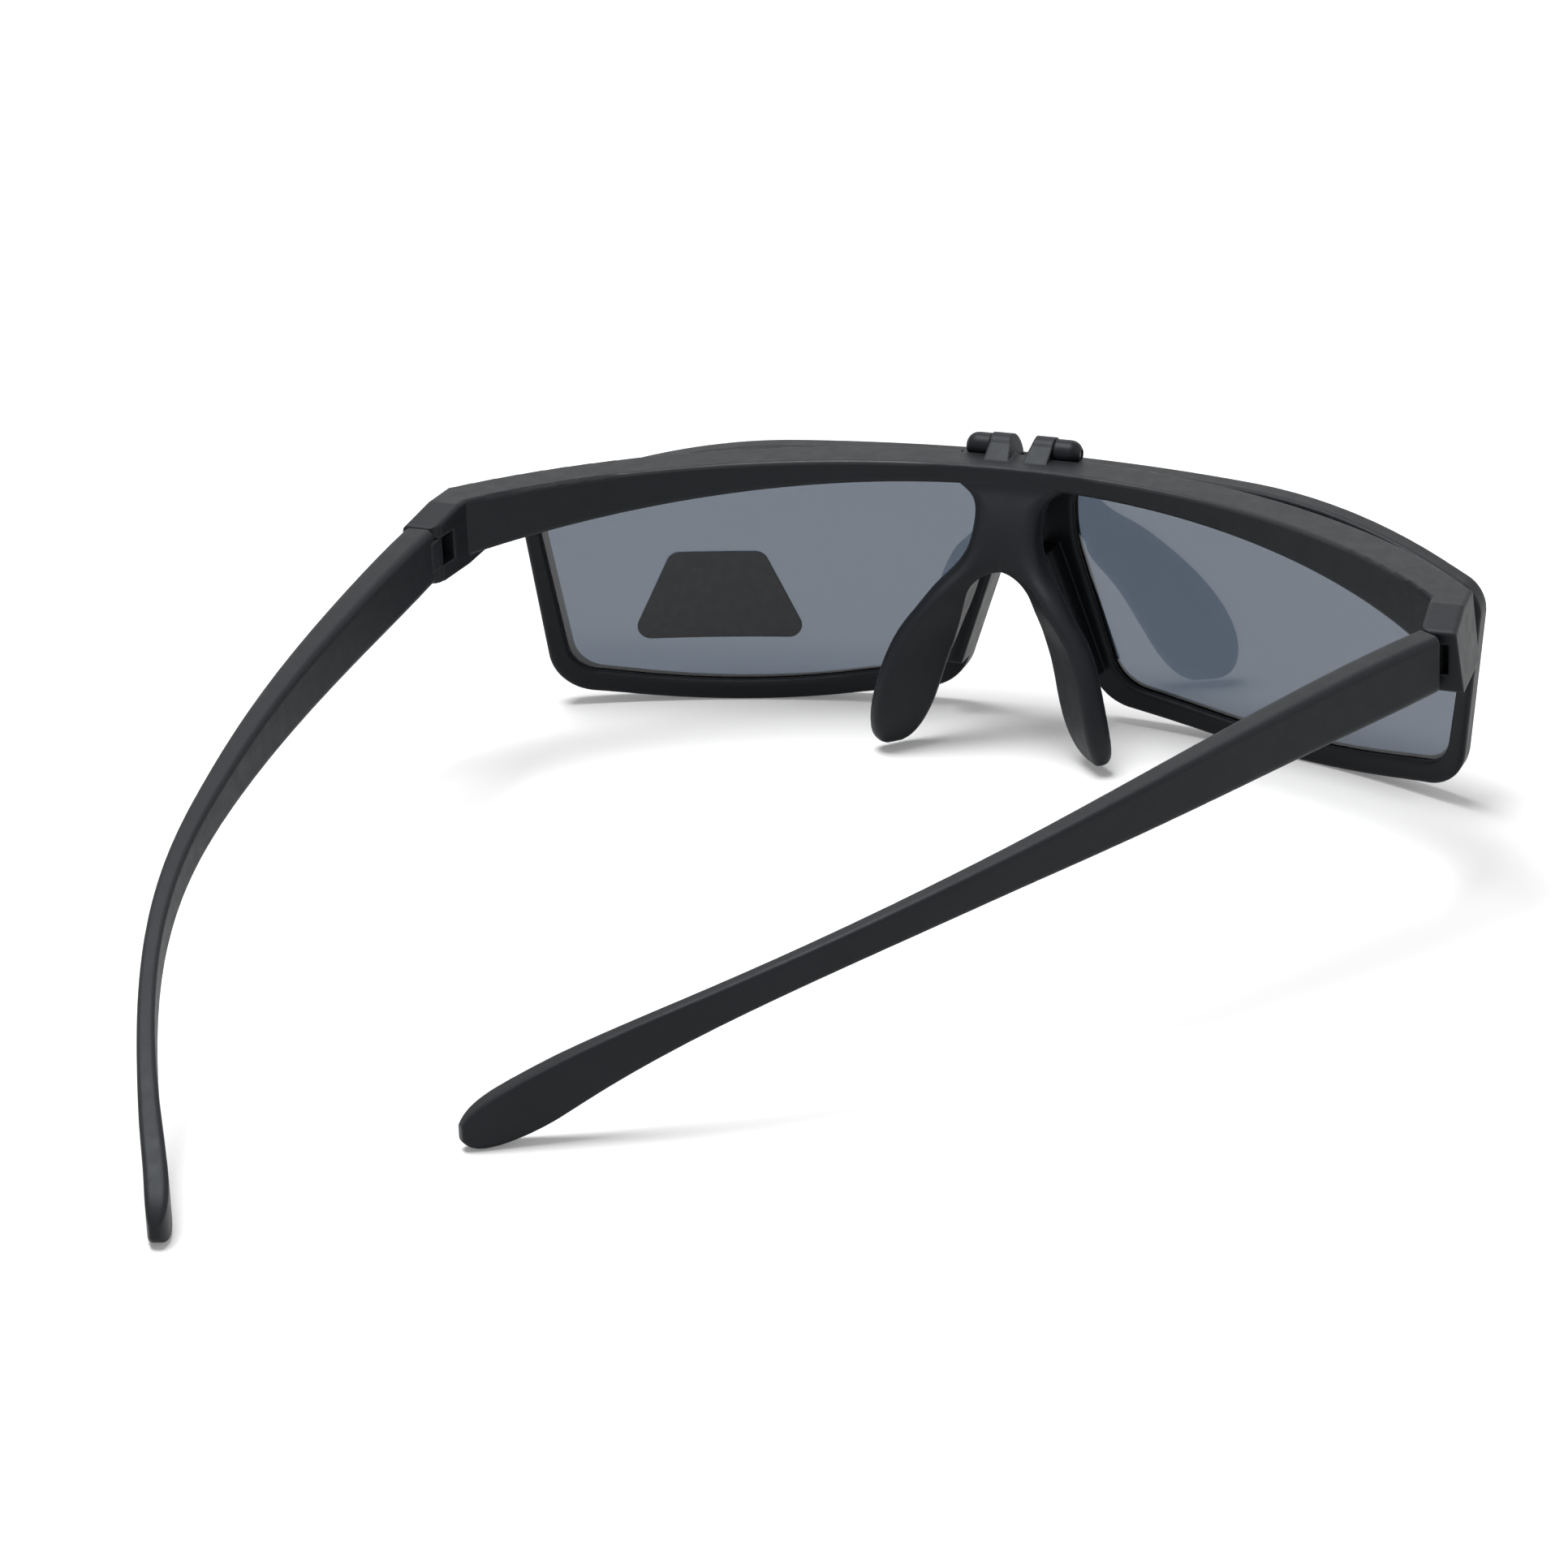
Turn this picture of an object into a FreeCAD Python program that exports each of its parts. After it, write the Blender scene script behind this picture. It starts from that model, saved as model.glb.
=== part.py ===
import FreeCAD, Part
import math
import os

# Flip-up sunglasses standing on a table, as they were put down: the left temple open, the right one
# partly folded. Millimetres. +Z is up with the table at z = 0, the front looks along -Y, and the temples
# run back along +Y. Left and right are the wearer's, so the left temple is on +X.
# A name that ends in share holds a fraction of the size that it follows.

# Clearances
seat_gap = 0.04
running_gap = 0.05
moving_gap = 0.35
overrun = 5.0

# Brow bar: a band bent round a vertical axis, deeper at its ends
brow_rear_radius = 88.0
brow_depth = 6.0
brow_half_span = 66.0
brow_top_level = 38.0
brow_centre_height = 2.7
brow_end_height = 7.9
brow_round = 0.6
brow_low_round = 0.5

# End pieces behind the brow's ends, with a clevis for each temple
end_length = 8.2
end_width = 4.5
end_splay = 0.9
end_foot_reach = 1.2
end_drop = 1.1
end_level_run = 1.6
end_height = 7.9
end_wall = 0.8
lug_top_thickness = 1.7
lug_bottom_thickness = 2.1
slot_depth = 4.6
knuckle_radius = 1.45

# Temple screw, put in from below
screw_radius = 0.6
screw_head_radius = 0.95
screw_head_height = 0.6
screw_thread_length = 1.0
screw_slot_width = 0.25
screw_slot_depth = 0.25

# Bridge and nose legs, moulded with the brow
arch_level = 24.8
arch_radius = 4.8
arch_spread = 17.0
leg_width = 10.0
leg_thickness = 3.6
leg_tip_level = 0.7
leg_reach = 14.4
leg_set_back = 8.6
leg_turn = 45.0
leg_round_share = 0.42

# Flip hinge on the brow's top: two ears on the brow, one knuckle beside each on the flip frame
hinge_forward = 6.7
hinge_level = 38.3
ear_radius = 2.05
ear_inner = 1.7
ear_width = 2.7
ear_foot_length = 3.2
ear_flare = 0.9
foot_top_share = 0.35
foot_rise_share = 0.75
flip_knuckle_radius = 1.85
flip_knuckle_width = 3.6
flip_knuckle_gap = 0.15
flip_knuckle_round = 1.7
flip_pin_radius = 0.7
flip_pin_recess = 0.3
web_height = 2.6

# Flip frame: a full rim, bent less than the brow
front_radius = 145.0
front_tilt = 0.5
rim_depth = 3.4
rim_half_width = 67.6
rim_top_level = 37.0
rim_corner_drop = 6.6
rim_side_inset = 3.3
rim_low_level = -1.4
rim_outer_rise = 3.8
rim_nose_rise = 4.5
rim_sweep_share = 0.2145
rim_shoulder_share = 0.0962
rim_low_share = 0.1435
rim_top_corner_radius = 4.0
rim_bottom_corner_radius = 6.5
rim_nose_radius = 7.0
rim_round = 0.6
rim_side_width = 2.3
rim_bottom_width = 2.7
rim_top_width = 3.0
rim_nose_width = 2.8
rim_nose_top_width = 3.6
nose_gap_half_width = 10.2
nose_gap_top_half_width = 3.2
nose_gap_level = 23.5
nose_gap_round = 3.5
nose_rib_depth = 3.4
nose_rib_low_share = 0.22
nose_rib_high_share = 1.1
lens_top_corner_radius = 3.0
lens_bottom_corner_radius = 4.6
lens_nose_corner_radius = 6.0
lens_nose_sweep_radius = 20.0
lens_nose_level = 26.5

# Lenses and the film on the left one
lens_thickness = 1.2
lens_set_back = 1.0
groove_depth = 0.8
film_thickness = 0.15
film_width = 23.6
film_top_width = 12.2
film_height = 12.6
film_corner_radius = 1.8
film_centre_out = 42.8
film_centre_level = 15.1

# Temples
temple_length = 132.2
temple_bow_depth = 22.2
temple_drop_height = 31.0
temple_height = 7.8
temple_thickness = 4.3
temple_round_share = 0.24
neck_overlap = 0.9
right_temple_fold = 33.0

# Stations along a temple: how far back, how far in, how far its middle has fallen, its height and thickness
temple_station_shares = (
    (0.000, 0.000, 0.000, 0.97, 1.00),
    (0.098, -0.015, 0.038, 1.00, 0.96),
    (0.244, -0.032, 0.109, 0.92, 0.86),
    (0.390, -0.018, 0.198, 0.78, 0.74),
    (0.536, 0.055, 0.303, 0.62, 0.62),
    (0.683, 0.235, 0.448, 0.56, 0.52),
    (0.800, 0.490, 0.614, 0.64, 0.50),
    (0.887, 0.730, 0.779, 0.85, 0.58),
    (0.936, 0.880, 0.893, 0.96, 0.66),
    (0.970, 0.985, 0.960, 0.84, 0.68),
    (0.990, 1.045, 0.990, 0.58, 0.56),
    (1.000, 1.085, 1.000, 0.26, 0.30),
)

# Stations down one half of the bridge and its nose leg: reach, set back, height, width, thickness and turn
leg_station_shares = (
    (0.181, -0.314, 0.962, 1.120, 1.403, 0.00),
    (0.170, -0.285, 0.925, 1.090, 1.472, 0.00),
    (0.104, -0.215, 0.893, 0.900, 1.528, 0.00),
    (0.068, -0.110, 0.855, 0.795, 1.556, 0.00),
    (0.059, 0.041, 0.799, 0.770, 1.500, 0.00),
    (0.066, 0.180, 0.740, 0.795, 1.389, 0.07),
    (0.104, 0.302, 0.670, 0.930, 1.250, 0.33),
    (0.288, 0.395, 0.598, 0.990, 1.083, 0.80),
    (0.483, 0.547, 0.517, 0.960, 1.000, 0.98),
    (0.640, 0.660, 0.440, 0.940, 0.960, 1.00),
    (0.840, 0.930, 0.240, 0.940, 0.940, 1.00),
    (0.950, 1.020, 0.080, 0.760, 0.920, 1.00),
    (0.990, 1.020, 0.025, 0.540, 0.700, 1.00),
    (1.000, 1.020, 0.000, 0.280, 0.340, 1.00),
)

up = FreeCAD.Vector(0, 0, 1)
back = FreeCAD.Vector(0, 1, 0)
left = FreeCAD.Vector(1, 0, 0)
centre = FreeCAD.Vector(0, 0, 0)


def vec(x, y, z):
    return FreeCAD.Vector(x, y, z)


def mirrored(shape):
    return shape.mirror(centre, left)


def joined(first, *others):
    return first.fuse(list(others)).removeSplitter()


def prism(points, along):
    """Polygon of points swept along a vector."""
    wire = Part.makePolygon([*points, points[0]])
    return Part.Face(wire).extrude(along)


def rounded_outline(corners):
    """Closed wire through corners given as (point, radius), each corner rounded by a tangent arc.

    A corner with no radius gets the rim's long sweep, which takes up the same length of both its edges.
    """
    entries = []
    count = len(corners)
    for index, (point, radius) in enumerate(corners):
        before = (corners[index - 1][0] - point).normalize()
        after = (corners[(index + 1) % count][0] - point).normalize()
        half_turn = before.getAngle(after) / 2
        if radius is None:
            radius = rim_sweep_reach * math.tan(half_turn)
        reach = radius / math.tan(half_turn)
        middle = (before + after).normalize() * (radius / math.sin(half_turn) - radius)
        entries.append((point + before * reach, point + middle, point + after * reach))
    edges = []
    for index, (start, middle, end) in enumerate(entries):
        previous_end = entries[index - 1][2]
        if previous_end.distanceToPoint(start) > Part.Precision.confusion():
            edges.append(Part.LineSegment(previous_end, start).toShape())
        edges.append(Part.Arc(start, middle, end).toShape())
    return Part.Wire(edges)


def rounded_section(middle, along, across, along_size, across_size, radius):
    """Rounded rectangle about a point, in the plane of two unit directions."""
    a = along * (along_size / 2)
    b = across * (across_size / 2)
    corners = (middle + a + b, middle - a + b, middle - a - b, middle + a - b)
    return rounded_outline([(corner, radius) for corner in corners])


# Places worked out from the sizes above
brow_front_radius = brow_rear_radius + brow_depth
brow_angle = math.asin(brow_half_span / brow_rear_radius)
corner_back = brow_rear_radius - brow_rear_radius * math.cos(brow_angle)
front_corner_out = brow_front_radius * math.sin(brow_angle) + end_foot_reach
front_corner_back = brow_rear_radius - math.sqrt(brow_front_radius ** 2 - front_corner_out ** 2)
end_inner_out = brow_half_span + end_splay
end_back = corner_back + end_length
fall_back = corner_back + end_level_run
end_top_level = brow_top_level - end_drop
end_bottom_level = end_top_level - end_height
pivot_out = end_inner_out + knuckle_radius
pivot_back = end_back - knuckle_radius
slot_top = end_top_level - lug_top_thickness
slot_bottom = end_bottom_level + lug_bottom_thickness
temple_start = end_back + moving_gap
hinge_y = -hinge_forward
ear_outer = ear_inner + ear_width
flip_knuckle_inner = ear_outer + flip_knuckle_gap
flip_knuckle_outer = flip_knuckle_inner + flip_knuckle_width
rim_rear_y = -brow_depth - moving_gap
rim_sweep_reach = rim_half_width * rim_sweep_share
rim_top_break = rim_half_width * (1 - rim_shoulder_share) - rim_sweep_reach
rim_low_point = rim_half_width * (1 - rim_low_share) - rim_side_inset - rim_sweep_reach


def brow_bar():
    """Brow band and end pieces as one swept plan, with its lower edge arched and its top edges rounded."""
    def mid_arc(radius):
        return vec(0, brow_rear_radius - radius, 0)
    rear_corner = vec(brow_half_span, corner_back, 0)
    front_corner = vec(front_corner_out, front_corner_back, 0)
    end_inner = vec(end_inner_out, end_back, 0)
    end_outer = vec(end_inner_out + end_width + end_foot_reach, end_back, 0)

    def other(point):
        return vec(-point.x, point.y, point.z)
    edges = [
        Part.Arc(other(rear_corner), mid_arc(brow_rear_radius), rear_corner).toShape(),
        Part.LineSegment(rear_corner, end_inner).toShape(),
        Part.LineSegment(end_inner, end_outer).toShape(),
        Part.LineSegment(end_outer, front_corner).toShape(),
        Part.Arc(front_corner, mid_arc(brow_front_radius), other(front_corner)).toShape(),
        Part.LineSegment(other(front_corner), other(end_outer)).toShape(),
        Part.LineSegment(other(end_outer), other(end_inner)).toShape(),
        Part.LineSegment(other(end_inner), other(rear_corner)).toShape(),
    ]
    depth = brow_top_level - end_bottom_level
    plan = Part.Face(Part.Wire(edges))
    plan.translate(up * end_bottom_level)
    bar = plan.extrude(up * depth)
    far_out = end_inner_out + end_width + overrun
    slope = end_drop / (end_length - end_level_run)
    fall_length = end_length - end_level_run + overrun
    wedge = prism([
        vec(-far_out, fall_back, brow_top_level),
        vec(-far_out, fall_back + fall_length, brow_top_level - slope * fall_length),
        vec(-far_out, fall_back + fall_length, brow_top_level + overrun),
        vec(-far_out, fall_back, brow_top_level + overrun),
    ], left * (2 * far_out))
    side_cut = end_side_cut(end_outer, front_corner)
    bar = bar.cut([wedge, side_cut, mirrored(side_cut)])
    bar = bar.makeFillet(brow_round, [edge for edge in bar.Edges if is_top_edge(edge)])
    low_middle = vec(0, 0, brow_top_level - brow_centre_height)
    low_end = vec(brow_half_span, 0, brow_top_level - brow_end_height)
    low_arc = Part.Arc(other(low_end), low_middle, low_end).toShape()
    sill = vec(brow_half_span, 0, end_bottom_level - overrun)
    low_face = Part.Face(Part.Wire([
        low_arc,
        Part.LineSegment(low_end, sill).toShape(),
        Part.LineSegment(sill, other(sill)).toShape(),
        Part.LineSegment(other(sill), other(low_end)).toShape(),
    ]))
    low_face.translate(back * (-brow_depth - overrun))
    bar = bar.cut(low_face.extrude(back * (brow_depth + end_back + 2 * overrun)))
    return bar.makeFillet(brow_low_round, [edge for edge in bar.Edges if is_low_edge(edge)])


def end_side_cut(rear_point, front_point):
    """What the left end piece loses so that its outer side leans out towards its foot."""
    run = (front_point - rear_point).normalize()
    start = rear_point - run * overrun
    wide = left * overrun
    points = [
        start + up * brow_top_level - left * end_foot_reach,
        start + up * end_bottom_level,
        start + up * (end_bottom_level - overrun),
        start + up * (end_bottom_level - overrun) + wide,
        start + up * (brow_top_level + overrun) + wide,
        start + up * (brow_top_level + overrun) - left * end_foot_reach,
    ]
    return prism(points, run * (rear_point.distanceToPoint(front_point) + 2 * overrun))


def is_top_edge(edge):
    """Edges that bound the bar's top: all of their length lies at or above the end pieces' top."""
    box = edge.BoundBox
    return box.ZMin > end_top_level - seat_gap and box.ZLength < end_drop + seat_gap and not is_crease(edge)


def is_low_edge(edge):
    """The two long edges of the bar's arched underside."""
    box = edge.BoundBox
    return box.XLength > brow_half_span and box.ZMax < brow_top_level - brow_centre_height + seat_gap


def is_crease(edge):
    """The edge along X where the level top turns into the end piece's slope."""
    box = edge.BoundBox
    return box.YLength < seat_gap and abs(box.YMin - fall_back) < seat_gap


def clevis_cut():
    """What the left end piece loses: the slot for the tongue, a round inner corner and the screw's hole."""
    slot_width = overrun + end_width - end_wall
    slot = Part.makeBox(slot_width, slot_depth + overrun, slot_top - slot_bottom,
                        vec(end_inner_out - overrun, end_back - slot_depth, slot_bottom))
    height = end_height + 2 * overrun
    base = vec(0, 0, end_bottom_level - overrun)
    corner = Part.makeBox(knuckle_radius + overrun, knuckle_radius + overrun, height,
                          base + vec(pivot_out - knuckle_radius - overrun, pivot_back, 0))
    corner = corner.cut(Part.makeCylinder(knuckle_radius, height, base + vec(pivot_out, pivot_back, 0)))
    hole_depth = slot_top + screw_thread_length - end_bottom_level + seat_gap
    foot = vec(pivot_out, pivot_back, end_bottom_level)
    hole = Part.makeCylinder(screw_radius + seat_gap, hole_depth, foot)
    head = Part.makeCylinder(screw_head_radius + seat_gap, screw_head_height + seat_gap, foot)
    return joined(slot, corner, hole, head)


def nose_arch():
    """Round space over the nose that runs on down between two spreading sides, cut through the legs."""
    depth = brow_depth + leg_set_back + 2 * overrun
    start = vec(0, -brow_depth - overrun, arch_level - arch_radius)
    spread = math.radians(arch_spread)
    shoulder = start + vec(arch_radius * math.cos(spread), 0, arch_radius * math.sin(spread))
    fall = shoulder.z + overrun
    foot = shoulder + vec(fall * math.tan(spread), 0, -fall)
    wedge = prism([shoulder, foot, vec(-foot.x, foot.y, foot.z), vec(-shoulder.x, shoulder.y, shoulder.z)],
                  back * depth)
    return joined(Part.makeCylinder(arch_radius, depth, start, back), wedge)


def nose_leg():
    """Left half of the bridge and its nose leg: a blade that splays out, turns and ends in a round tip."""
    rise = brow_top_level - leg_tip_level
    sections = []
    for reach_share, back_share, height_share, width_share, thick_share, turn_share in leg_station_shares:
        turn = math.radians(leg_turn * turn_share)
        along = vec(math.cos(turn), math.sin(turn), 0)
        across = vec(-math.sin(turn), math.cos(turn), 0)
        middle = vec(leg_reach * reach_share, leg_set_back * back_share, leg_tip_level + rise * height_share)
        thickness = leg_thickness * thick_share
        sections.append(rounded_section(middle, along, across, leg_width * width_share, thickness,
                                        thickness * leg_round_share))
    reach = leg_reach + leg_width
    half = Part.makeBox(reach, 2 * reach, 2 * brow_top_level, vec(0, -reach, -overrun))
    return Part.makeLoft(sections, True).common(half)


def flip_ear():
    """Left ear on the brow's top, wider at its base: a barrel on the flip axis and a foot behind it."""
    base_inner = ear_inner - ear_flare
    crown = hinge_level + ear_radius
    start = vec(base_inner, hinge_y, hinge_level)
    barrel = Part.makeCylinder(ear_radius, ear_width + ear_flare, start, left)
    foot = prism([
        vec(base_inner, hinge_y, crown),
        vec(base_inner, hinge_y + ear_foot_length * foot_top_share,
            hinge_level + ear_radius * foot_rise_share),
        vec(base_inner, hinge_y + ear_radius + ear_foot_length, brow_top_level - brow_round),
        vec(base_inner, hinge_y + ear_radius, brow_top_level - brow_centre_height),
        vec(base_inner, hinge_y, hinge_level - ear_radius),
    ], left * (ear_width + ear_flare))
    flank = prism([
        vec(base_inner, hinge_y - overrun, brow_top_level - brow_round),
        vec(ear_inner, hinge_y - overrun, crown),
        vec(base_inner - overrun, hinge_y - overrun, crown),
        vec(base_inner - overrun, hinge_y - overrun, brow_top_level - brow_round),
    ], back * (ear_radius + ear_foot_length + 2 * overrun))
    bore = Part.makeCylinder(flip_pin_radius + seat_gap, ear_width + overrun,
                             vec(ear_inner - seat_gap, hinge_y, hinge_level), left)
    return joined(barrel, foot).cut(flank), bore


def knuckle_room():
    """Space cut from the brow's front edge for the left flip knuckle."""
    return Part.makeCylinder(flip_knuckle_radius + moving_gap, flip_knuckle_width + 2 * flip_knuckle_gap,
                             vec(ear_outer, hinge_y, hinge_level), left)


def brow_frame():
    bar = brow_bar()
    cut = clevis_cut()
    bar = bar.cut(cut).cut(mirrored(cut))
    leg = nose_leg()
    ear, bore = flip_ear()
    room = knuckle_room()
    frame = joined(bar, leg, mirrored(leg))
    frame = frame.cut([nose_arch(), room, mirrored(room)])
    frame = joined(frame, ear, mirrored(ear))
    return frame.cut(bore).cut(mirrored(bore))


def temple_screw():
    """Left temple screw: slotted head at the bottom, plain shank, end in the upper lug."""
    base = vec(pivot_out, pivot_back, end_bottom_level)
    length = slot_top + screw_thread_length - end_bottom_level
    head = Part.makeCylinder(screw_head_radius, screw_head_height, base)
    shank = Part.makeCylinder(screw_radius, length, base)
    slot = Part.makeBox(2 * screw_head_radius, screw_slot_width, screw_slot_depth,
                        base - vec(screw_head_radius, screw_slot_width / 2, 0))
    return joined(head, shank).cut(slot)


def temple():
    """Left temple, open: a tongue in the clevis, then a blade that slims, bows in and ends in a paddle."""
    sections = []
    outer = end_inner_out + end_width
    middle_level = end_top_level - temple_height / 2
    stations = []
    for back_share, in_share, fall_share, height_share, thick_share in temple_station_shares:
        stations.append((
            vec(outer - temple_thickness * thick_share / 2 - temple_bow_depth * in_share,
                temple_start + temple_length * back_share,
                middle_level - temple_drop_height * fall_share),
            temple_height * height_share, temple_thickness * thick_share))
    for index, (middle, height, thickness) in enumerate(stations):
        before = stations[max(index - 1, 0)][0]
        after = stations[min(index + 1, len(stations) - 1)][0]
        run = after - before
        run.z = 0
        run.normalize()
        if index == 0:
            run = back
        across = up.cross(run)
        sections.append(rounded_section(middle, up, across, height, thickness,
                                        thickness * temple_round_share))
    blade = Part.makeLoft(sections, True)
    tongue_height = slot_top - slot_bottom - 2 * running_gap
    tongue_base = vec(pivot_out, pivot_back, slot_bottom + running_gap)
    tongue = Part.makeCylinder(knuckle_radius, tongue_height, tongue_base)
    neck = Part.makeBox(2 * knuckle_radius, temple_start - pivot_back + neck_overlap, tongue_height,
                        tongue_base - vec(knuckle_radius, 0, 0))
    bore = Part.makeCylinder(screw_radius + running_gap, tongue_height, tongue_base)
    return joined(blade, tongue, neck).cut(bore)


def front_shell(near_radius, far_radius):
    """Wall between two cylinders about the flip front's own axis, which leans a little."""
    lean = math.radians(front_tilt)
    axis = vec(0, math.sin(lean), math.cos(lean))
    height = 2 * (rim_top_level + overrun)
    base = vec(0, rim_rear_y + front_radius, rim_top_level) - axis * (height / 2 + rim_top_level / 2)
    outer = Part.makeCylinder(far_radius, height, base, axis)
    return outer.cut(Part.makeCylinder(near_radius, height, base, axis))


def front_prism(outline):
    """A front view swept right through the flip front, from before it to behind its ends."""
    face = Part.Face(outline)
    face.translate(back * (rim_rear_y - rim_depth - 2 * overrun))
    reach = front_radius - math.sqrt(front_radius ** 2 - rim_half_width ** 2)
    return face.extrude(back * (rim_depth + reach + 4 * overrun))


def lens_opening(grow):
    """Front view of the left lens opening, grown outward by a distance."""
    lens_top = rim_top_level - rim_top_width
    foot = rim_low_level + rim_bottom_width
    nose_top = nose_gap_top_half_width + rim_nose_top_width
    outline = rounded_outline([
        (vec(nose_top, 0, lens_top), lens_top_corner_radius),
        (vec(rim_top_break, 0, lens_top), None),
        (vec(rim_half_width - rim_side_width, 0, lens_top - rim_corner_drop), lens_top_corner_radius),
        (vec(rim_half_width - rim_side_inset - rim_side_width, 0, foot + rim_outer_rise),
         lens_bottom_corner_radius),
        (vec(rim_low_point, 0, foot), None),
        (vec(nose_gap_half_width + rim_nose_width, 0, foot + rim_nose_rise), lens_nose_corner_radius),
        (vec(nose_top, 0, lens_nose_level), lens_nose_sweep_radius),
    ])
    if grow == 0:
        return outline
    return outline.makeOffset2D(grow)


def rim_outline():
    """Front view of the flip frame: both rims and the gap for the nose."""
    half = [
        (vec(rim_top_break, 0, rim_top_level), None),
        (vec(rim_half_width, 0, rim_top_level - rim_corner_drop), rim_top_corner_radius),
        (vec(rim_half_width - rim_side_inset, 0, rim_low_level + rim_outer_rise), rim_bottom_corner_radius),
        (vec(rim_low_point, 0, rim_low_level), None),
        (vec(nose_gap_half_width, 0, rim_low_level + rim_nose_rise), rim_nose_radius),
        (vec(nose_gap_top_half_width, 0, nose_gap_level), nose_gap_round),
    ]
    other = [(vec(-point.x, 0, point.z), radius) for point, radius in reversed(half)]
    return rounded_outline(half + other)


def flip_knuckle():
    """Left flip knuckle: a barrel on the flip axis, round at its outer end, with a web down to the rim."""
    start = vec(flip_knuckle_inner, hinge_y, hinge_level)
    barrel = Part.makeCylinder(flip_knuckle_radius, flip_knuckle_width, start, left)
    ends = [edge for edge in barrel.Edges if edge.BoundBox.XMin > flip_knuckle_outer - seat_gap]
    barrel = barrel.makeFillet(flip_knuckle_round, ends)
    web = Part.makeBox(flip_knuckle_width - flip_knuckle_round, flip_knuckle_radius, web_height,
                       vec(flip_knuckle_inner, hinge_y - flip_knuckle_radius, hinge_level - web_height))
    return joined(barrel, web)


def nose_rib():
    """Left rib that carries the rim's nose side back towards the nose leg."""
    low = vec(nose_gap_half_width, rim_rear_y - rim_depth / 2, rim_low_level + rim_nose_rise)
    high = vec(nose_gap_top_half_width, rim_rear_y - rim_depth / 2, nose_gap_level)
    foot = low + (high - low) * nose_rib_low_share
    crown = low + (high - low) * nose_rib_high_share
    wide = left * (rim_nose_width - rim_round)
    rib = prism([foot, foot + wide, crown + wide, crown], back * (rim_depth / 2 + nose_rib_depth))
    rear = rim_rear_y + nose_rib_depth - seat_gap
    return rib.makeFillet(rim_round, [edge for edge in rib.Edges if edge.BoundBox.YMin > rear])


def is_through_edge(edge):
    """Edges that run straight from the flip front's face to its back."""
    box = edge.BoundBox
    return box.XLength < seat_gap and box.ZLength < seat_gap


def flip_frame():
    frame = front_prism(rim_outline()).common(front_shell(front_radius, front_radius + rim_depth))
    opening = front_prism(lens_opening(0))
    frame = frame.cut([opening, mirrored(opening)])
    frame = frame.makeFillet(rim_round, [edge for edge in frame.Edges if not is_through_edge(edge)])
    near = front_radius + lens_set_back
    groove = front_prism(lens_opening(groove_depth)).common(
        front_shell(near - seat_gap, near + lens_thickness + seat_gap))
    ear_room = Part.makeCylinder(ear_radius + moving_gap, 2 * flip_knuckle_inner,
                                 vec(-flip_knuckle_inner, hinge_y, hinge_level), left)
    knuckle = flip_knuckle()
    rib = nose_rib()
    bore = Part.makeCylinder(flip_pin_radius + running_gap, flip_knuckle_width + 2 * overrun,
                             vec(flip_knuckle_inner - overrun, hinge_y, hinge_level), left)
    frame = joined(frame, knuckle, mirrored(knuckle), rib, mirrored(rib))
    return frame.cut([groove, mirrored(groove), ear_room, bore, mirrored(bore)])


def lens():
    """Left lens, held all round in the rim's groove."""
    near = front_radius + lens_set_back
    outline = lens_opening(groove_depth - seat_gap)
    return front_prism(outline).common(front_shell(near, near + lens_thickness))


def lens_film():
    """Bare trapezoid of dark film on the back of the left lens."""
    far = front_radius + lens_set_back - seat_gap
    low = film_centre_level - film_height / 2
    high = film_centre_level + film_height / 2
    outline = rounded_outline([
        (vec(film_centre_out - film_width / 2, 0, low), film_corner_radius),
        (vec(film_centre_out - film_top_width / 2, 0, high), film_corner_radius),
        (vec(film_centre_out + film_top_width / 2, 0, high), film_corner_radius),
        (vec(film_centre_out + film_width / 2, 0, low), film_corner_radius),
    ])
    return front_prism(outline).common(front_shell(far - film_thickness, far))


def flip_pin():
    """Left flip pin, tight in the ear and free in the knuckle."""
    return Part.makeCylinder(flip_pin_radius, flip_knuckle_outer - flip_pin_recess - ear_inner,
                             vec(ear_inner, hinge_y, hinge_level), left)


def folded(shape):
    """The left temple's mirror image, turned in about the right hinge."""
    other = mirrored(shape)
    other.rotate(vec(-pivot_out, pivot_back, 0), up, -right_temple_fold)
    return other


os.makedirs("parts", exist_ok=True)
left_temple = temple()
left_screw = temple_screw()
left_lens = lens()
left_pin = flip_pin()
pieces = {
    "brow_frame": brow_frame(),
    "left_temple": left_temple,
    "right_temple": folded(left_temple),
    "left_temple_screw": left_screw,
    "right_temple_screw": mirrored(left_screw),
    "flip_frame": flip_frame(),
    "left_lens": left_lens,
    "right_lens": mirrored(left_lens),
    "lens_film": lens_film(),
    "left_flip_pin": left_pin,
    "right_flip_pin": mirrored(left_pin),
}
# The origin goes to the middle of the whole part's footprint, on the table
whole = Part.makeCompound(list(pieces.values())).optimalBoundingBox(False)
to_origin = vec(-whole.Center.x, -whole.Center.y, -whole.ZMin)
for name, shape in pieces.items():
    shape.translate(to_origin)
    print(name, shape.isValid(), len(shape.Solids), round(shape.Volume, 1))
    shape.exportStep("parts/" + name + ".step")
print("moved by", to_origin)
print("flip axis", vec(0, hinge_y, hinge_level) + to_origin)
print("temple hinge", vec(pivot_out, pivot_back, slot_bottom) + to_origin)
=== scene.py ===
import bpy
from mathutils import Matrix, Vector

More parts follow.
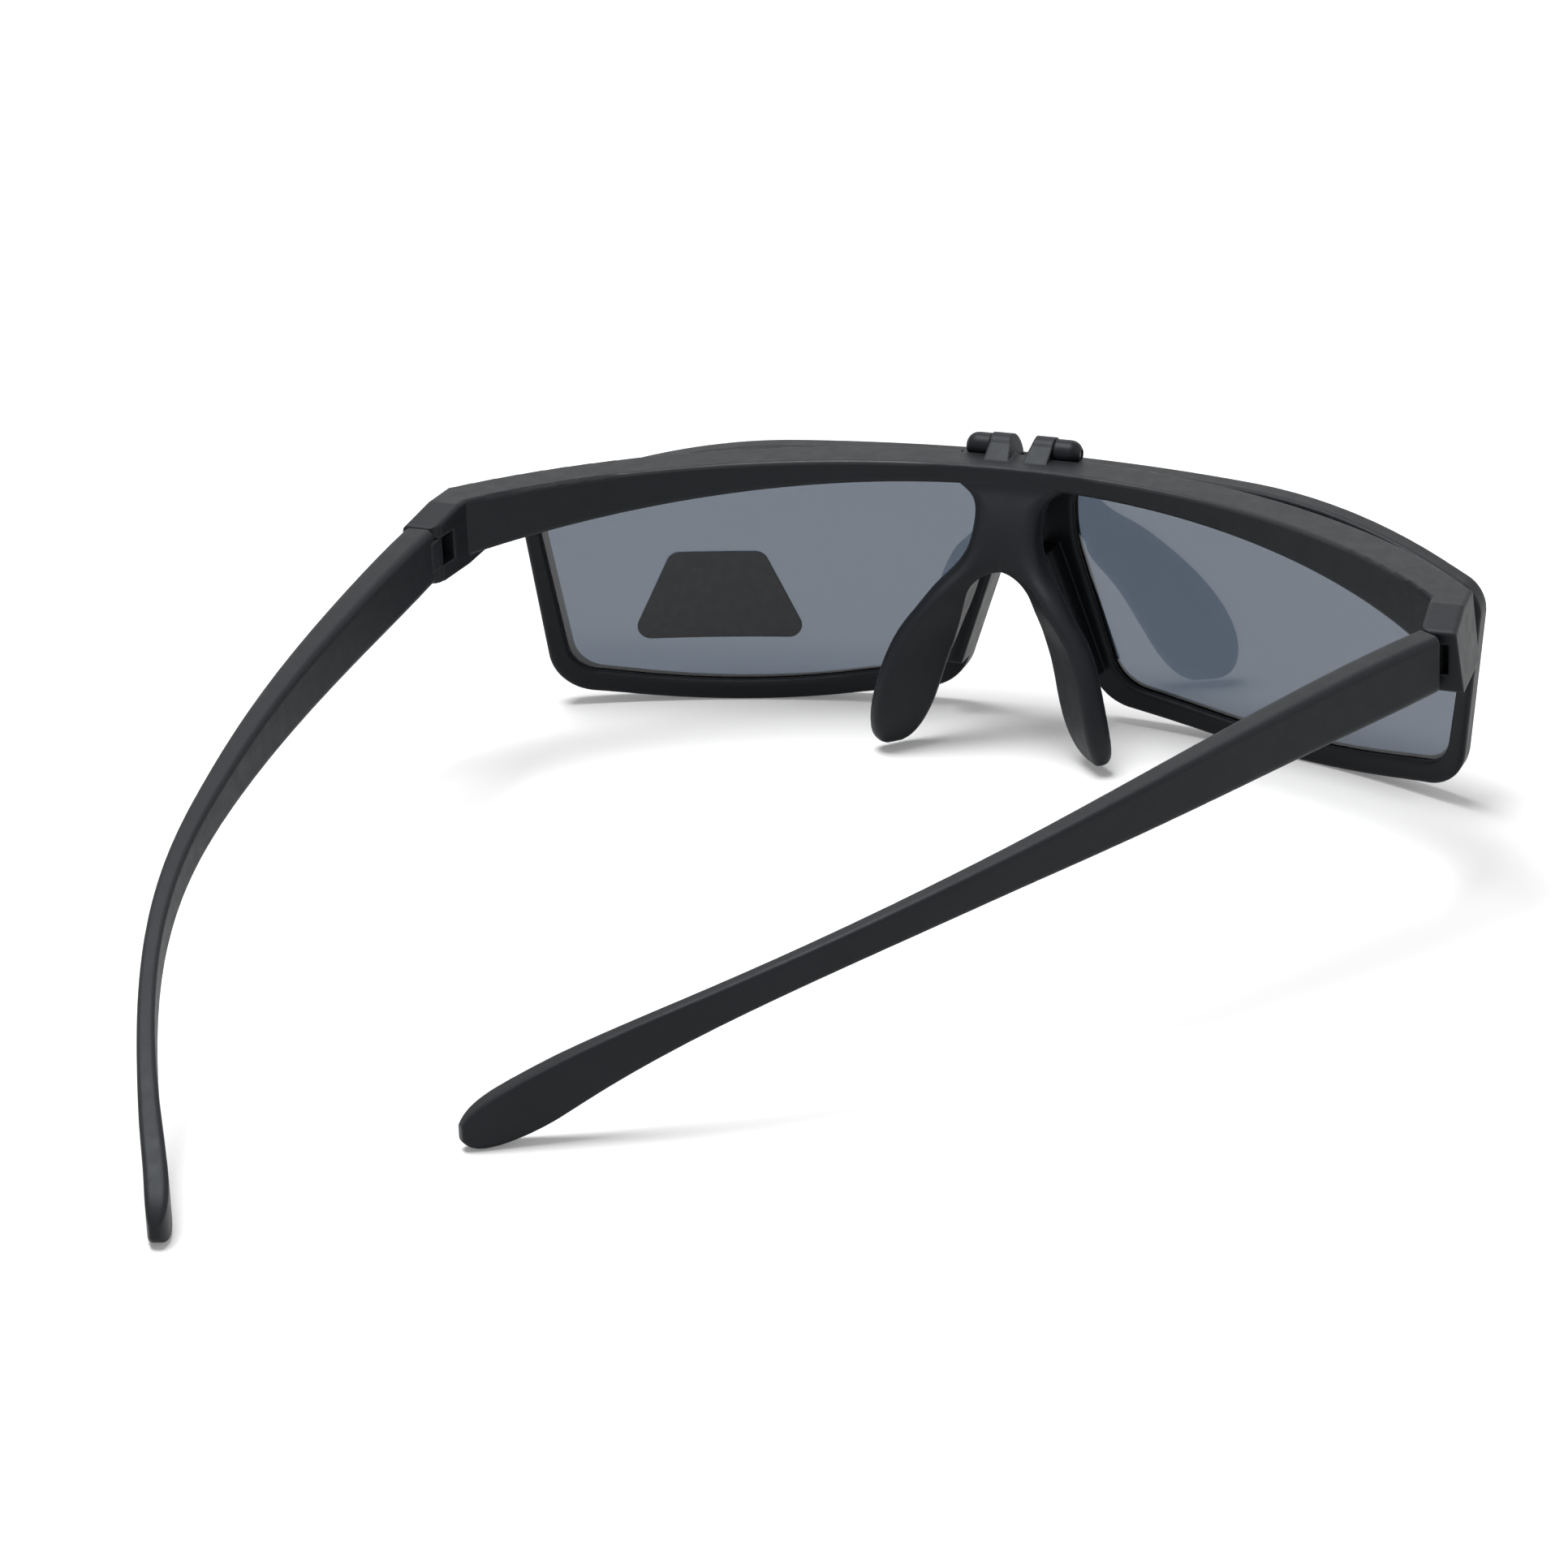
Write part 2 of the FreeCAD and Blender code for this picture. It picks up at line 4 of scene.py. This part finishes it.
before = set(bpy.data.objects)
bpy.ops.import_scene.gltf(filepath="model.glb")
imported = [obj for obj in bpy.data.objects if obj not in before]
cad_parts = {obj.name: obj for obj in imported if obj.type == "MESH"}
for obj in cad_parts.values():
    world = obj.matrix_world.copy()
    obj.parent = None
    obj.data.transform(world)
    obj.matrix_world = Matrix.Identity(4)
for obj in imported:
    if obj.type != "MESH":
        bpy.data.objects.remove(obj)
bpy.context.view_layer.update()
scene = bpy.context.scene

# Camera: behind and above the wearer's right, rolled a little, in metres
CAMERA_PLACE = Vector((-0.25815, 0.65986, 0.33334))
CAMERA_RIGHT = Vector((-0.93538, -0.35161, -0.03778))
CAMERA_UP = Vector((0.10757, -0.38467, 0.91677))
CAMERA_LENS = 144.0
CAMERA_NEAR = 0.01
SENSOR_WIDTH = 36.0

# Floor and light, in metres and watts. The floor is lit near the part and plain white further off.
FLOOR_SIZE = 6.0
FLOOR_LIT_RADIUS = 0.28
FLOOR_FADE = 0.22
FLOOR_GLOW = 0.18
FLOOR_COLOUR = (0.88, 0.88, 0.88, 1.0)
FLOOR_ROUGH = 0.9
WHITE = (1.0, 1.0, 1.0, 1.0)
WHITE_LIGHT = 1.0
ROOM_LIGHT = 0.30
TOP_LAMP = dict(place=(0.22, -0.02, 1.20), aim=(0.0, 0.0, 0.0), size=0.6, watts=20.0)
SIDE_LAMP = dict(place=(-1.10, -0.30, 0.60), aim=(0.0, 0.0, 0.02), size=0.7, watts=2.0)
FRONT_LAMP = dict(place=(0.25, -1.05, 0.55), aim=(0.0, 0.0, 0.03), size=0.8, watts=0.9)

# Noise: cells in a metre, octaves of detail, and the span of its values that is put to use
GRAIN = dict(cells=5200.0, detail=2.0)
CLOUDS = dict(cells=55.0, detail=4.0)
CLOUD_SPAN = (0.35, 0.7)
SCUFFS = dict(cells=420.0, detail=3.0)
SCUFF_SPAN = (0.35, 0.75)
SMEARS = dict(cells=90.0, detail=5.0, stretch=(1.0, 1.0, 2.2))
SMEAR_SPAN = (0.55, 0.85)
MOTTLE = dict(cells=700.0, detail=3.0)
MOTTLE_SPAN = (0.35, 0.7)
MOTTLE_ROUGH_SPAN = (0.3, 0.7)
TURNING = dict(cells=9000.0, detail=2.0, stretch=(1.0, 0.08, 1.0))
TURNING_SPAN = (0.3, 0.7)

# Moulded plastic, with lengths in metres. The paler edge colour is partly wear and partly a painted
# highlight along the edges.
BROW_PLASTIC = dict(colour=(0.0042, 0.0048, 0.0062, 1.0), worn_and_highlit=(0.022, 0.0225, 0.024, 1.0), rough=0.48,
                    grain_depth=0.00003, specular=0.20, edge_radius=0.0005)
TEMPLE_PLASTIC = dict(colour=(0.0048, 0.0054, 0.0068, 1.0), worn_and_highlit=(0.022, 0.0225, 0.024, 1.0), rough=0.50,
                      grain_depth=0.00003, specular=0.20, edge_radius=0.0005)
RIM_PLASTIC = dict(colour=(0.0042, 0.0047, 0.0060, 1.0), worn_and_highlit=(0.020, 0.0205, 0.022, 1.0), rough=0.46,
                   grain_depth=0.00002, specular=0.17, edge_radius=0.0004)
GLOSS_TINT = (0.90, 0.95, 1.0, 1.0)
GRAIN_STRENGTH = 0.5
CLOUD_GAIN = 1.25
SCUFF_ROUGHENS = 0.03
SCUFF_SMOOTHS = 0.04
EDGE_SAMPLES = 6
EDGE_TURN = (1.0, 0.9)

# The brow's level top edges: height, rounding, where they run to each side, how much smoother they are,
# and the gain of the band that also paints a paler highlight line into their colour
BROW_TOP = 0.03829
BROW_ROUND = 0.0006
BROW_RUN = (0.010, 0.062)
BROW_RUN_FADE = 0.003
EDGE_POLISH = 0.16
HUMP_GAIN = 4.0

# Lens, film and steel, with lengths in metres
LENS_TINT = (0.082, 0.102, 0.133, 1.0)
LENS_DEEPER = (0.076, 0.096, 0.126, 1.0)
LENS_HEIGHTS = (0.002, 0.034)
LENS_IOR = 1.7
LENS_ROUGH = (0.0, 0.02)
FILM_COLOUR = (0.020, 0.021, 0.023, 1.0)
FILM_PALER = (0.030, 0.031, 0.034, 1.0)
FILM_SPECULAR = 0.3
FILM_ROUGH = (0.5, 0.62)
FILM_BUMP = {"Strength": 0.25, "Distance": 0.00002}
SCREW_STEEL = dict(colour=(0.42, 0.42, 0.43, 1.0), paler=(0.62, 0.62, 0.62, 1.0))
PIN_STEEL = dict(colour=(0.016, 0.016, 0.018, 1.0), paler=(0.030, 0.030, 0.032, 1.0))
STEEL_ROUGH = (0.24, 0.4)

# Sockets of the mix node that share a name: its two inputs and its output, for vectors and for colours
VECTOR_MIX = (4, 5, 1)
COLOUR_MIX = (6, 7, 2)


def node(tree, kind, inputs=None, **settings):
    """New shader node with its settings and unlinked input values."""
    made = tree.nodes.new(kind)
    for name, value in settings.items():
        setattr(made, name, value)
    for name, value in (inputs or {}).items():
        made.inputs[name].default_value = value
    return made


def feed(tree, socket, value):
    """Links an output to an input socket, or sets the socket to a plain value."""
    if isinstance(value, bpy.types.NodeSocket):
        tree.links.new(value, socket)
    else:
        socket.default_value = value


def new_material(name):
    """Empty node material with a Principled shader and its output."""
    material = bpy.data.materials.new(name)
    material.use_nodes = True
    tree = material.node_tree
    tree.nodes.clear()
    output = node(tree, "ShaderNodeOutputMaterial")
    shader = node(tree, "ShaderNodeBsdfPrincipled")
    tree.links.new(shader.outputs["BSDF"], output.inputs["Surface"])
    return material, tree, shader


def ramp(tree, source, span, values=(0.0, 1.0)):
    """Maps source from the span's ends to the two values, held at both ends."""
    mapped = node(tree, "ShaderNodeMapRange", {
        "From Min": span[0], "From Max": span[1], "To Min": values[0], "To Max": values[1]})
    tree.links.new(source, mapped.inputs["Value"])
    return mapped.outputs["Result"]


def blended(tree, kind, sockets, factor, first, second):
    """Colour or vector that goes from first to second with factor."""
    mix = node(tree, "ShaderNodeMix", data_type=kind)
    tree.links.new(factor, mix.inputs["Factor"])
    feed(tree, mix.inputs[sockets[0]], first)
    feed(tree, mix.inputs[sockets[1]], second)
    return mix.outputs[sockets[2]]


def blended_colour(tree, factor, first, second):
    return blended(tree, "RGBA", COLOUR_MIX, factor, first, second)


def reckon(tree, operation, *values):
    """One step of arithmetic on numbers or outputs."""
    step = node(tree, "ShaderNodeMath", operation=operation)
    for slot, value in enumerate(values):
        feed(tree, step.inputs[slot], value)
    return step.outputs["Value"]


def vector_step(tree, operation, *values):
    """One step of arithmetic on vectors or outputs, as its node."""
    step = node(tree, "ShaderNodeVectorMath", operation=operation)
    for slot, value in enumerate(values):
        feed(tree, step.inputs[slot], value)
    return step


def own_place(tree):
    """The point on the surface, in the object's own metres."""
    return node(tree, "ShaderNodeTexCoord").outputs["Object"]


def true_normal(tree):
    return node(tree, "ShaderNodeNewGeometry").outputs["Normal"]


def own_axes(tree):
    """The same point's X, Y and Z as separate outputs."""
    split = node(tree, "ShaderNodeSeparateXYZ")
    tree.links.new(own_place(tree), split.inputs["Vector"])
    return split.outputs


def noise(tree, cells, detail, stretch=(1.0, 1.0, 1.0)):
    """Noise in the object's own metres, with cells in a metre."""
    mapping = node(tree, "ShaderNodeMapping", {"Scale": stretch})
    texture = node(tree, "ShaderNodeTexNoise", {"Scale": cells, "Detail": detail})
    tree.links.new(own_place(tree), mapping.inputs["Vector"])
    tree.links.new(mapping.outputs["Vector"], texture.inputs["Vector"])
    return texture.outputs["Fac"]


def soft_edge(tree, radius):
    """Rounded normal, and a mask of edges from how far it turns from the true one."""
    bevel = node(tree, "ShaderNodeBevel", {"Radius": radius}, samples=EDGE_SAMPLES)
    rounded = bevel.outputs["Normal"]
    turn = vector_step(tree, "DOT_PRODUCT", rounded, true_normal(tree))
    return rounded, ramp(tree, turn.outputs["Value"], EDGE_TURN)


def level_edge(tree, normal):
    """Normal and edge mask along the brow's level top edges, both worked out from height alone.

    A rounded edge turns from upright to level over its radius, so its normal follows from how high a point
    is on it. That keeps the line of light along the edge even. The mask peaks along the middle of the
    rounding, where it lowers roughness and paints a paler line into the colour, a painted highlight. Other
    places keep the normal they have.
    """
    place = own_axes(tree)
    foot = BROW_TOP - BROW_ROUND
    rise = ramp(tree, place["Z"], (foot, BROW_TOP))
    level = reckon(tree, "SQRT", reckon(tree, "SUBTRACT", 1.0, reckon(tree, "MULTIPLY", rise, rise)))
    flat = vector_step(tree, "MULTIPLY", true_normal(tree), (1.0, 1.0, 0.0))
    outward = vector_step(tree, "NORMALIZE", flat.outputs["Vector"])
    leaning = vector_step(tree, "SCALE", outward.outputs["Vector"])
    tree.links.new(level, leaning.inputs["Scale"])
    upward = node(tree, "ShaderNodeCombineXYZ")
    tree.links.new(rise, upward.inputs["Z"])
    turned = vector_step(tree, "ADD", leaning.outputs["Vector"], upward.outputs["Vector"])
    side = reckon(tree, "ABSOLUTE", place["X"])
    begins = ramp(tree, side, (BROW_RUN[0], BROW_RUN[0] + BROW_RUN_FADE))
    ends = ramp(tree, side, (BROW_RUN[1] - BROW_RUN_FADE, BROW_RUN[1]), (1.0, 0.0))
    high = reckon(tree, "GREATER_THAN", place["Z"], foot)
    on_edge = reckon(tree, "MULTIPLY", reckon(tree, "MULTIPLY", begins, ends), high)
    evened = blended(tree, "VECTOR", VECTOR_MIX, on_edge, normal, turned.outputs["Vector"])
    hump = reckon(tree, "MULTIPLY", rise, reckon(tree, "SUBTRACT", 1.0, rise))
    return evened, reckon(tree, "MULTIPLY", on_edge, reckon(tree, "MULTIPLY", hump, HUMP_GAIN))


def add_bump(tree, shader, height, inputs, normal=None):
    """Bump from height, on top of a normal where one is given."""
    bump = node(tree, "ShaderNodeBump", inputs)
    tree.links.new(height, bump.inputs["Height"])
    if normal is not None:
        tree.links.new(normal, bump.inputs["Normal"])
    tree.links.new(bump.outputs["Normal"], shader.inputs["Normal"])


def moulded_plastic(name, colour, worn_and_highlit, rough, grain_depth, specular, edge_radius, level_edged=False):
    """Matt moulded plastic: fine grain, faint clouding, scuffs that polish it, and paler edges that are
    partly wear and partly a painted highlight.
    """
    material, tree, shader = new_material(name)
    shader.inputs["Specular IOR Level"].default_value = specular
    shader.inputs["Specular Tint"].default_value = GLOSS_TINT
    normal, wear_and_highlight_mask = soft_edge(tree, edge_radius)
    dull = ramp(tree, noise(tree, **SCUFFS), SCUFF_SPAN, (rough + SCUFF_ROUGHENS, rough - SCUFF_SMOOTHS))
    if level_edged:
        # On the brow's level top edges a band along the rounding lowers roughness and also paints a paler
        # highlight line into the colour.
        normal, polish_and_highlight = level_edge(tree, normal)
        wear_and_highlight_mask = reckon(tree, "MAXIMUM", wear_and_highlight_mask, polish_and_highlight)
        dull = reckon(tree, "SUBTRACT", dull, reckon(tree, "MULTIPLY", polish_and_highlight, EDGE_POLISH))
    paler = tuple(min(1.0, part * CLOUD_GAIN) for part in colour[:3]) + (1.0,)
    body = blended_colour(tree, ramp(tree, noise(tree, **CLOUDS), CLOUD_SPAN), colour, paler)
    # Paler colour along edges: partly wear, partly a painted highlight line.
    tree.links.new(blended_colour(tree, wear_and_highlight_mask, body, worn_and_highlit), shader.inputs["Base Color"])
    tree.links.new(dull, shader.inputs["Roughness"])
    grain_bump = {"Strength": GRAIN_STRENGTH, "Distance": grain_depth}
    add_bump(tree, shader, noise(tree, **GRAIN), grain_bump, normal)
    return material


def tinted_lens(name):
    """Polished tinted lens, a little deeper in tint towards its top, with a few faint smears."""
    material, tree, shader = new_material(name)
    shader.inputs["Transmission Weight"].default_value = 1.0
    shader.inputs["IOR"].default_value = LENS_IOR
    height = ramp(tree, own_axes(tree)["Z"], LENS_HEIGHTS)
    tree.links.new(blended_colour(tree, height, LENS_TINT, LENS_DEEPER), shader.inputs["Base Color"])
    tree.links.new(ramp(tree, noise(tree, **SMEARS), SMEAR_SPAN, LENS_ROUGH), shader.inputs["Roughness"])
    return material


def matt_film(name):
    """Dark film with a faint mottle and a soft sheen."""
    material, tree, shader = new_material(name)
    shader.inputs["Specular IOR Level"].default_value = FILM_SPECULAR
    mottle = noise(tree, **MOTTLE)
    colour = blended_colour(tree, ramp(tree, mottle, MOTTLE_SPAN), FILM_COLOUR, FILM_PALER)
    tree.links.new(colour, shader.inputs["Base Color"])
    tree.links.new(ramp(tree, mottle, MOTTLE_ROUGH_SPAN, FILM_ROUGH), shader.inputs["Roughness"])
    add_bump(tree, shader, mottle, FILM_BUMP)
    return material


def turned_steel(name, colour, paler):
    """Steel with fine turning lines and dull patches."""
    material, tree, shader = new_material(name)
    shader.inputs["Metallic"].default_value = 1.0
    lines = noise(tree, **TURNING)
    tree.links.new(blended_colour(tree, lines, colour, paler), shader.inputs["Base Color"])
    tree.links.new(ramp(tree, lines, TURNING_SPAN, STEEL_ROUGH), shader.inputs["Roughness"])
    return material


def dress(material, *names):
    """Gives CAD nodes a material in place of the plain one they came with."""
    for name in names:
        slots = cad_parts[name].data.materials
        slots.clear()
        slots.append(material)


def seen_ray(tree):
    """1 for rays that show a background: from the camera, or by way of a mirror or a lens."""
    path = node(tree, "ShaderNodeLightPath").outputs
    mirrored = reckon(tree, "MAXIMUM", path["Is Camera Ray"], path["Is Glossy Ray"])
    return reckon(tree, "MAXIMUM", mirrored, path["Is Transmission Ray"])


def mixed_shader(tree, factor, first, second):
    """Shader that goes from first to second with factor."""
    mix = node(tree, "ShaderNodeMixShader")
    tree.links.new(factor, mix.inputs["Fac"])
    tree.links.new(first, mix.inputs[1])
    tree.links.new(second, mix.inputs[2])
    return mix.outputs["Shader"]


def floor_material():
    """Pale floor that keeps light shadows near the part and turns plain white further off."""
    material, tree, shader = new_material("floor_pale")
    shader.inputs["Base Color"].default_value = FLOOR_COLOUR
    shader.inputs["Roughness"].default_value = FLOOR_ROUGH
    shader.inputs["Specular IOR Level"].default_value = 0.0
    away = vector_step(tree, "LENGTH", own_place(tree)).outputs["Value"]
    far = ramp(tree, away, (FLOOR_LIT_RADIUS, FLOOR_LIT_RADIUS + FLOOR_FADE), (FLOOR_GLOW, 1.0))
    white = node(tree, "ShaderNodeEmission", {"Color": WHITE, "Strength": WHITE_LIGHT})
    surface = mixed_shader(tree, reckon(tree, "MULTIPLY", far, seen_ray(tree)), shader.outputs["BSDF"],
                           white.outputs["Emission"])
    output = next(made for made in tree.nodes if made.type == "OUTPUT_MATERIAL")
    tree.links.new(surface, output.inputs["Surface"])
    return material


def make_floor():
    bpy.ops.mesh.primitive_plane_add(size=FLOOR_SIZE, location=(0.0, 0.0, 0.0))
    floor = bpy.context.object
    floor.name = "floor"
    floor.data.materials.append(floor_material())


def make_world():
    """White behind everything, and softer light from all round."""
    world = bpy.data.worlds.new("studio")
    world.use_nodes = True
    scene.world = world
    tree = world.node_tree
    tree.nodes.clear()
    output = node(tree, "ShaderNodeOutputWorld")
    room = node(tree, "ShaderNodeBackground", {"Color": WHITE, "Strength": ROOM_LIGHT})
    white = node(tree, "ShaderNodeBackground", {"Color": WHITE, "Strength": WHITE_LIGHT})
    surface = mixed_shader(tree, seen_ray(tree), room.outputs["Background"], white.outputs["Background"])
    tree.links.new(surface, output.inputs["Surface"])


def make_lamp(name, place, aim, size, watts):
    """Square soft lamp that looks at a point."""
    light = bpy.data.lights.new(name, "AREA")
    light.size = size
    light.energy = watts
    lamp = bpy.data.objects.new(name, light)
    lamp.location = place
    lamp.rotation_euler = (Vector(aim) - Vector(place)).to_track_quat("-Z", "Y").to_euler()
    scene.collection.objects.link(lamp)


def make_camera():
    camera = bpy.data.cameras.new("photo_view")
    camera.lens = CAMERA_LENS
    camera.sensor_width = SENSOR_WIDTH
    camera.clip_start = CAMERA_NEAR
    view = bpy.data.objects.new("photo_view", camera)
    turn = Matrix((CAMERA_RIGHT, CAMERA_UP, CAMERA_RIGHT.cross(CAMERA_UP))).transposed()
    view.matrix_world = Matrix.Translation(CAMERA_PLACE) @ turn.to_4x4()
    scene.collection.objects.link(view)
    scene.camera = view


dress(moulded_plastic("brow_black", level_edged=True, **BROW_PLASTIC), "brow_frame")
dress(moulded_plastic("temple_black", **TEMPLE_PLASTIC), "left_temple", "right_temple")
dress(moulded_plastic("rim_black", **RIM_PLASTIC), "flip_frame")
dress(tinted_lens("lens_grey"), "left_lens", "right_lens")
dress(matt_film("film_dark"), "lens_film")
dress(turned_steel("screw_steel", **SCREW_STEEL), "left_temple_screw", "right_temple_screw")
dress(turned_steel("pin_black_steel", **PIN_STEEL), "left_flip_pin", "right_flip_pin")

make_floor()
make_world()
make_lamp("top_lamp", **TOP_LAMP)
make_lamp("side_lamp", **SIDE_LAMP)
make_lamp("front_lamp", **FRONT_LAMP)
make_camera()
scene.view_settings.view_transform = "Standard"
